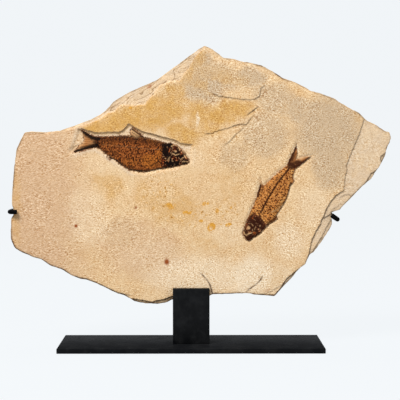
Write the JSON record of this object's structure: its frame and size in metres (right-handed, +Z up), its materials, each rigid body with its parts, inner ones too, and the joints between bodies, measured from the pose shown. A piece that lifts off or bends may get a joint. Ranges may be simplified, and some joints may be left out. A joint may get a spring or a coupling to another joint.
{
  "type": "fossil fish slab on a stand",
  "caption": "Thin laminated limestone slab with fossil fish on its face, standing upright in a slotted black block on a flat base plate, steadied by rod prongs at its edges.",
  "frame": {"origin": "centre of the base plate's underside, on the surface that the stand rests on", "axes": "+Z up, the slab's face with the fish looks along -Y, +X to the right of someone who faces it"},
  "size_m": [0.3697, 0.0762, 0.2918],
  "materials": {
    "limestone": "dry, finely grained, split along its bedding",
    "fossil_bone": "dark red-brown bone and scales with a slight sheen",
    "black_paint": "satin black powder coat"
  },
  "bodies": {
    "root": {"slab": "limestone", "left_fish": "fossil_bone", "right_fish": "fossil_bone", "base_plate": "black_paint", "holder_block": "black_paint", "left_arm": "black_paint", "right_arm": "black_paint"}
  },
  "joints": []
}
